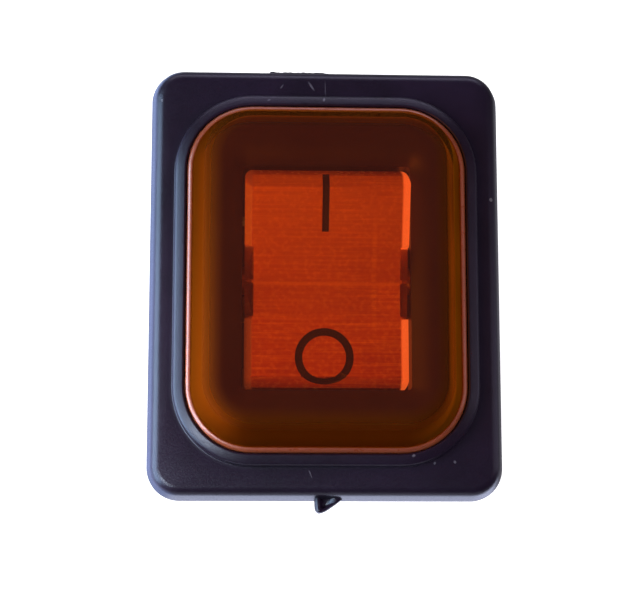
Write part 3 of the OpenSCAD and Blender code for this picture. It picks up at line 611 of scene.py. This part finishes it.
dusty, dusty_in, dusty_out = effect("dust_specks", {"Scale": 900, "Amount": 0.12}, ["Mask"])
cells = add(dusty, "ShaderNodeTexVoronoi", Randomness=1.0)
dusty.links.new(object_place(dusty), cells.inputs["Vector"])
dusty.links.new(dusty_in["Scale"], cells.inputs["Scale"])
chance = dusty.nodes.new("ShaderNodeSeparateColor")
dusty.links.new(cells.outputs["Color"], chance.inputs[0])
chosen = math_node(dusty, "LESS_THAN", chance.outputs[0], dusty_in["Amount"])
size = math_node(dusty, "MULTIPLY_ADD", chance.outputs[1], 0.1, 0.05)
spot = math_node(dusty, "LESS_THAN", cells.outputs["Distance"], size)
dusty.links.new(math_node(dusty, "MULTIPLY", chosen, spot), dusty_out["Mask"])

boot, tree, shader = material("boot_black")
skin = use(tree, grain, Scale=7000.0, Patch=170.0)
specks = use(tree, dusty, Scale=850.0, Amount=0.05)
body_tone = blend_colour(tree, skin["Patch"], (0.010, 0.004, 0.014), (0.018, 0.008, 0.027))
body_tone = blend_colour(tree, specks["Mask"], body_tone, (0.16, 0.15, 0.18))

# Pale scuffs and crumbs: x, y, half length and half width in mm, lean in degrees, strength.
scuffs = (
    (-0.05, 16.6, 0.95, 0.05, 92, 0.35),
    (-0.21, 15.45, 0.22, 0.12, 80, 0.8),
    (-1.26, 16.9, 0.55, 0.11, 123, 0.6),
    (-3.79, 16.84, 0.26, 0.08, 55, 0.5),
    (-4.91, 15.34, 0.18, 0.1, 30, 0.5),
    (7.2, -14.99, 0.17, 0.13, 20, 1.0),
    (9.05, -15.52, 0.15, 0.12, 70, 0.8),
    (10.74, -15.42, 0.16, 0.13, 120, 0.9),
    (-14.07, 15.5, 0.16, 0.1, 100, 0.8),
    (-1.32, -16.45, 0.42, 0.06, 112, 0.6),
)
scuff_tone = (0.17, 0.16, 0.22)
parts = split(tree, object_place(tree))
for x, y, length, width, lean, strength in scuffs:
    turn = math.radians(lean)
    from_x = math_node(tree, "SUBTRACT", parts["X"], x * MM)
    from_y = math_node(tree, "SUBTRACT", parts["Y"], y * MM)
    far = math_node(tree, "MULTIPLY", from_y, math.sin(turn) / (length * MM))
    far = math_node(tree, "MULTIPLY_ADD", from_x, math.cos(turn) / (length * MM), far)
    wide = math_node(tree, "MULTIPLY", from_y, math.cos(turn) / (width * MM))
    wide = math_node(tree, "MULTIPLY_ADD", from_x, -math.sin(turn) / (width * MM), wide)
    apart = math_node(tree, "MULTIPLY_ADD", far, far, math_node(tree, "MULTIPLY", wide, wide))
    body_tone = blend_colour(tree, span(tree, apart, 1.0, 0.2, 0.0, strength), body_tone, scuff_tone)
tree.links.new(body_tone, shader.inputs["Base Color"])
tree.links.new(span(tree, skin["Height"], 0.3, 0.7, 0.28, 0.4), shader.inputs["Roughness"])
shader.inputs["Specular IOR Level"].default_value = 0.3
shader.inputs["Sheen Weight"].default_value = 0.03
shader.inputs["Sheen Roughness"].default_value = 0.45
shader.inputs["Sheen Tint"].default_value = (0.65, 0.72, 1.0, 1)
tree.links.new(bump(tree, skin["Height"], 1.0e-5), shader.inputs["Normal"])

# Section of the ring: up the leaning side, over its edge, in to the collar and down to the lip.
side_lean = math.radians(frame_lean)
edge_z = frame_top - frame_crown - frame_edge_r
edge_in = (frame_edge_r + math.sin(side_lean) * edge_z) / math.cos(side_lean)
edge_centre = (frame_half[0] - edge_in, edge_z)
section = [(frame_half[0], 0.0)] + arc(edge_centre, frame_edge_r, frame_lean, frame_crown_at, 10)
longer = frame_half[1] - frame_half[0]
rings = [rounded_ring(x, longer + x, frame_r - frame_half[0] + x, z) for x, z in section]
foot_centre = (collar_out + collar_foot_r, frame_top + collar_foot_r)
shoulder_centre = (collar_out - collar_shoulder_r, collar_top - collar_shoulder_drop)
lip_centre = (collar_gap + collar_lip_r, collar_top - collar_lip_r)
collar = [(collar_flat, frame_top)]
collar += arc(foot_centre, collar_foot_r, -90, -180, 3)
collar += arc(shoulder_centre, collar_shoulder_r, 0, collar_ramp, 8)
collar += arc(lip_centre, collar_lip_r, collar_ramp, 180, 6)
collar += [(collar_gap, foot_top), (dome_foot + foot_play, foot_top), (dome_foot + foot_play, flange_top)]
rings += [dome_ring(out, z) for out, z in collar]
rings += [rounded_ring(*pocket_half, pocket_r, z) for z in (flange_top, lip_t)]
rings += [rounded_ring(*hole_half, hole_r, z) for z in (lip_t, 0.0)]
shape = bmesh.new()
loops = [[shape.verts.new(point * MM) for point in ring] for ring in rings]
for low, high in zip(loops, loops[1:] + loops[:1]):
    join_rings(shape, low, high)

# Gate stub: its outline at the lower edge, and how far in and how high each step up to its hollow end is.
stub = (
    (-0.92, 1.1), (-0.92, -0.21), (-0.90, -0.5), (-0.85, -0.8), (-0.72, -0.97), (-0.55, -1.05), (-0.3, -1.0),
    (0.0, -0.88), (0.25, -0.72), (0.5, -0.55), (0.8, -0.34), (1.0, -0.2), (1.38, 0.1), (1.38, 1.1),
)
stub_hollow = Vector((-0.09, -0.38))
stub_steps = ((1.0, 0.0), (1.0, 0.6), (0.92, 0.8), (0.72, 0.88), (0.5, 0.8), (0.3, 0.45), (0.08, 0.3))
levels = []
for reach, z in stub_steps:
    flat = [stub_hollow.lerp(Vector(point), reach) for point in stub]
    levels.append([shape.verts.new(Vector((x, y - frame_half[1], z)) * MM) for x, y in flat])
for low, high in zip(levels, levels[1:]):
    join_rings(shape, low, high)
shape.faces.new(levels[-1])
shape.faces.new(list(reversed(levels[0])))

# Flash: a thin, ragged fin along part of the upper edge.
flash_from, flash_to = -4.8, 0.3
flash_t = 0.25
flash_edge_t = 0.17
flash_root = frame_half[1] - 0.6
flash_mean = 0.07
flash_wave = 0.035
flash_peak = 0.06
flash_most = 0.14
flash_steps = 34
fins = []
for step in range(flash_steps + 1):
    share = step / flash_steps
    x = flash_from + (flash_to - flash_from) * share
    wave = flash_wave * math.sin(41 * share) * math.sin(17 * share + 1)
    peak = flash_peak * math.exp(-((share - 0.06) / 0.03) ** 2)
    ragged = flash_mean + wave + peak
    reach = frame_half[1] + min(ragged, flash_most) * min(1, 8 * (1 - share) + 0.2)
    outline = ((flash_root, 0.0), (reach, 0.0), (reach, flash_edge_t), (flash_root, flash_t))
    fins.append([shape.verts.new(Vector((x, y, z)) * MM) for y, z in outline])
for low, high in zip(fins, fins[1:]):
    join_rings(shape, low, high, smooth=False)
shape.faces.new(fins[0])
shape.faces.new(list(reversed(fins[-1])))
mesh = finished(shape, "boot_ring")
boot_sharp_above = math.radians(40)
mesh.set_sharp_from_angle(angle=boot_sharp_above)
ring_piece = show("boot_ring", mesh, "base", boot)
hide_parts("boot_frame")


# Dome: a clear amber PVC cap over the rocker, soft enough to press through. Its walls lean in and
# are hazier further down, its top edge is rounded, and its foot turns out in a round, duller rim
# that is bonded under the collar.
dome_top = 8.355
dome_draft = 14.0
dome_edge_r = 1.75
wall = 0.5
rim_out = 0.42
rim_top = 3.15
wall_z = rim_top - rim_out
haze_fade = (8.3 * MM, 6.5 * MM)
haze_steps = 11
haze_each = 0.01
most_clear = 0.97
most_bloom = 0.02
bloom_each = 0.004


def amber_skin(name, transmission, bloom):
    """Clear amber PVC, hazier and redder low on the walls than on top, which lets the lights through."""
    surface, tree, shader = material(name)
    skin = use(tree, grain, Scale=420.0, Patch=160.0)
    low = span(tree, split(tree, object_place(tree))["Z"], *haze_fade)
    low.node.interpolation_type = "SMOOTHSTEP"
    tone = blend_colour(tree, skin["Patch"], (0.80, 0.24, 0.035), (0.74, 0.21, 0.028))
    tree.links.new(blend_colour(tree, low, tone, (0.83, 0.185, 0.009)), shader.inputs["Base Color"])
    gloss = span(tree, skin["Patch"], 0.0, 1.0, 0.04, 0.1)
    tree.links.new(math_node(tree, "MULTIPLY_ADD", low, 0.3, gloss), shader.inputs["Roughness"])
    shader.inputs["IOR"].default_value = 1.003
    shader.inputs["Transmission Weight"].default_value = transmission
    shader.inputs["Sheen Weight"].default_value = bloom
    shader.inputs["Sheen Roughness"].default_value = 0.9
    shader.inputs["Sheen Tint"].default_value = (0.40, 0.16, 1.0, 1)
    tree.links.new(bump(tree, skin["Height"], 2.5e-5), shader.inputs["Normal"])
    clear = add(tree, "ShaderNodeBsdfTransparent", Color=(0.88, 0.62, 0.14, 1))
    either = tree.nodes.new("ShaderNodeMixShader")
    tree.links.new(tree.nodes.new("ShaderNodeLightPath").outputs["Is Shadow Ray"], either.inputs[0])
    tree.links.new(shader.outputs[0], either.inputs[1])
    tree.links.new(clear.outputs[0], either.inputs[2])
    tree.links.new(either.outputs[0], tree.nodes["Material Output"].inputs["Surface"])
    return surface


haze = []
for step in range(haze_steps):
    bloom = max(most_bloom - bloom_each * step, 0.0)
    haze.append(amber_skin(f"dome_amber_{step}", most_clear - haze_each * step, bloom))

rim_coat, tree, shader = material("dome_rim")
skin = use(tree, grain, Scale=3000.0, Patch=260.0)
coat_tone = blend_colour(tree, skin["Patch"], (0.37, 0.085, 0.030), (0.30, 0.068, 0.024))
# Painted shade: seen from behind, from inside the wall, the rim is painted near black.
behind = tree.nodes.new("ShaderNodeNewGeometry").outputs["Backfacing"]
tree.links.new(blend_colour(tree, behind, coat_tone, (0.03, 0.006, 0.002)), shader.inputs["Base Color"])
tree.links.new(span(tree, skin["Height"], 0.3, 0.7, 0.26, 0.36), shader.inputs["Roughness"])
shader.inputs["Specular IOR Level"].default_value = 0.9
shader.inputs["Specular Tint"].default_value = (1.0, 0.74, 0.66, 1)
tree.links.new(bump(tree, skin["Height"], 1.5e-5), shader.inputs["Normal"])


def cap_section(out, top, edge, start):
    """Half section of a leaning wall that rounds over, as (offset from the dome's outline, level) pairs."""
    lean = math.radians(dome_draft)
    centre = (out - (edge + math.sin(lean) * (top - edge - wall_z)) / math.cos(lean), top - edge)
    return [(out - math.tan(lean) * (start - wall_z), start)] + arc(centre, edge, dome_draft, 90, 24)


# Section of the cap: the foot and the round rim, the outer wall and top, and the inner skin.
inner_at = -rim_out - wall
rim = [(dome_foot, flange_top), (dome_foot, foot_top), (0.0, foot_top)]
rim += arc((-rim_out, wall_z), rim_out, 0, 90, 10)
outer = cap_section(-rim_out, dome_top, dome_edge_r, rim_top)
inner = [(inner_at, flange_top)] + cap_section(inner_at, dome_top - wall, dome_edge_r - wall, wall_z)
outside = [dome_ring(out, z) for out, z in rim + outer]
inside = [dome_ring(out, z) for out, z in inner]
shape = bmesh.new()
loops = [[shape.verts.new(point * MM) for point in ring] for ring in outside + list(reversed(inside))]
for index, (low, high) in enumerate(zip(loops, loops[1:] + loops[:1])):
    if index == len(outside) - 1:
        continue
    slot = 0
    if index < len(rim) - 1:
        slot = len(haze)
    elif index < len(outside):
        slot = len(haze) - 1 - (index - len(rim) + 1) * len(haze) // (len(outer) + 1)
    for quad in join_rings(shape, low, high):
        quad.material_index = slot
shape.faces.new(loops[len(outside) - 1])
shape.faces.new(loops[len(outside)])
mesh = finished(shape, "dome_cap")
mesh.set_sharp_from_angle(angle=boot_sharp_above)
cap = show("dome_cap", mesh, "base", *haze, rim_coat)
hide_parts("boot_dome")


# Studio: a white floor under the tab tips, nine panels that only show in gloss (floor cards, a
# window, a bright spot and walls), three that only light the part, a dim world that looks white to
# the camera, and the camera where the photo was taken.
floor_half = 3
white, tree, shader = material("studio_floor")
shader.inputs["Base Color"].default_value = (0.9, 0.9, 0.9, 1)
shader.inputs["Roughness"].default_value = 0.9
shader.inputs["Emission Color"].default_value = (1, 1, 1, 1)
shader.inputs["Emission Strength"].default_value = 0.92
floor_mesh = bpy.data.meshes.new("studio_floor")
floor_sides = ((-1, -1), (1, -1), (1, 1), (-1, 1))
floor_corners = [(x * floor_half, y * floor_half, cad_lo[2]) for x, y in floor_sides]
floor_mesh.from_pydata(floor_corners, [], [(0, 1, 2, 3)])
floor_mesh.materials.append(white)
floor = bpy.data.objects.new("studio_floor", floor_mesh)
bpy.context.scene.collection.objects.link(floor)
floor.visible_glossy = False
floor.visible_diffuse = False
floor.visible_transmission = False


def panel(name, size, place, aim, colour, radiance, mirrored):
    """A soft light, sized in mm and as bright as that radiance, that only shows in gloss or only lights."""
    light = bpy.data.lights.new(name, "AREA")
    light.shape = "RECTANGLE"
    light.size, light.size_y = size[0] * MM, size[1] * MM
    light.color = colour
    light.energy = radiance * math.pi * light.size * light.size_y
    lamp = bpy.data.objects.new(name, light)
    lamp.location = Vector(place) * MM
    lamp.rotation_euler = (Vector(aim) * MM - lamp.location).to_track_quat("-Z", "Y").to_euler()
    lamp.visible_camera = False
    lamp.visible_transmission = False
    lamp.visible_glossy = mirrored
    lamp.visible_diffuse = not mirrored
    bpy.context.scene.collection.objects.link(lamp)
    return lamp


panels = [
    panel("floor_wide", (500, 500), (0, 0, -30), (0, 0, 0), (0.92, 0.92, 1.0), 0.3, True),
    panel("floor_left", (26, 220), (-35, -6, -29), (-35, -6, 0), (0.34, 0.50, 1.0), 2.2, True),
    panel("floor_far_left", (70, 260), (-84, -6, -29), (-84, -6, 0), (0.36, 0.52, 1.0), 5.0, True),
    panel("floor_below", (140, 60), (0, -56, -29), (0, -56, 0), (0.66, 0.72, 1.0), 3.4, True),
    panel("window_pane", (240, 220), (-212, -30, 80), (0, 0, 3), (0.46, 0.69, 1.0), 14.8, True),
    panel("window_spot", (50, 50), (-108, -82, 195), (0, 0, 3), (0.72, 0.83, 1.0), 52.0, True),
    panel("wall_top", (240, 70), (0, 200, 70), (0, 0, 3), (0.76, 0.76, 1.0), 4.0, True),
    panel("wall_front", (240, 80), (0, -220, -10), (0, 0, -10), (0.80, 0.82, 1.0), 1.3, True),
    panel("wall_right", (70, 240), (200, 0, 70), (0, 0, 3), (0.80, 0.76, 1.0), 1.4, True),
    panel("window_high", (200, 160), (-170, 10, 150), (0, 0, 3), (0.9, 0.95, 1.0), 3.6, False),
    panel("window_side", (10, 6), (-31, -11, 8), (-11, -6, 5), (1.0, 0.96, 0.88), 37.0, False),
    panel("key_right", (140, 140), (160, 10, 180), (0, 0, 3), (1.0, 0.97, 0.94), 2.8, False),
]

world = bpy.data.worlds.new("studio")
bpy.context.scene.world = world
world.use_nodes = True
tree = world.node_tree
dim = tree.nodes["Background"]
dim.inputs["Color"].default_value = (0.07, 0.065, 0.09, 1)
pale = add(tree, "ShaderNodeBackground", Color=(1, 1, 1, 1), Strength=1.0)
seen = tree.nodes.new("ShaderNodeMixShader")
tree.links.new(tree.nodes.new("ShaderNodeLightPath").outputs["Is Camera Ray"], seen.inputs[0])
tree.links.new(dim.outputs[0], seen.inputs[1])
tree.links.new(pale.outputs[0], seen.inputs[2])
tree.links.new(seen.outputs[0], tree.nodes["World Output"].inputs["Surface"])

view_tilt = math.radians(-9.5464)
view_pan = math.radians(2.5986)
view_roll = math.radians(-0.4151)
view_aim = Vector((-0.4255, -2.1456, 0)) * MM
view_far = 146.288 * MM
turned = Matrix.Rotation(view_roll, 4, "Z") @ Matrix.Rotation(view_pan, 4, "Y")
turned = turned @ Matrix.Rotation(view_tilt, 4, "X")
camera = bpy.data.objects.new("camera", bpy.data.cameras.new("camera"))
camera.data.sensor_width = 36
camera.data.lens = 96.226
camera.data.clip_start = 0.01
camera.matrix_world = Matrix.Translation(view_aim) @ turned.inverted() @ Matrix.Translation((0, 0, view_far))
bpy.context.scene.collection.objects.link(camera)
bpy.context.scene.camera = camera
bpy.context.scene.view_settings.view_transform = "Standard"
